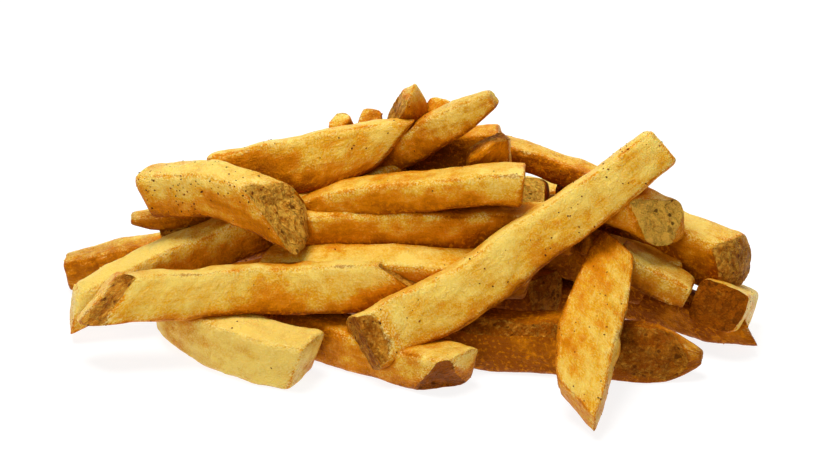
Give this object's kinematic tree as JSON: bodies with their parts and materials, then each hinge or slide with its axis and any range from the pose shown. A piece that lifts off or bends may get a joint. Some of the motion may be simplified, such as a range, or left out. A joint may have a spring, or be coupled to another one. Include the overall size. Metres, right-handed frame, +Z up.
{
  "type": "heap of french fries",
  "caption": "Loose heap of thick-cut, skin-on french fries lying across each other on a table, two of them leaning against the pile.",
  "frame": {"origin": "on the table, under the middle of the heap", "axes": "+X along the heap's length, -Y towards its front, where the short fry leans, +Z up"},
  "size_m": [0.1709, 0.1162, 0.059],
  "materials": {
    "fried_potato": "golden fried potato, pale on the cut tops, orange-brown on edges and undersides, with rough brown skin patches; dull with a light film of oil"
  },
  "bodies": {
    "root": {"fries_heap": "fried_potato"}
  },
  "joints": []
}
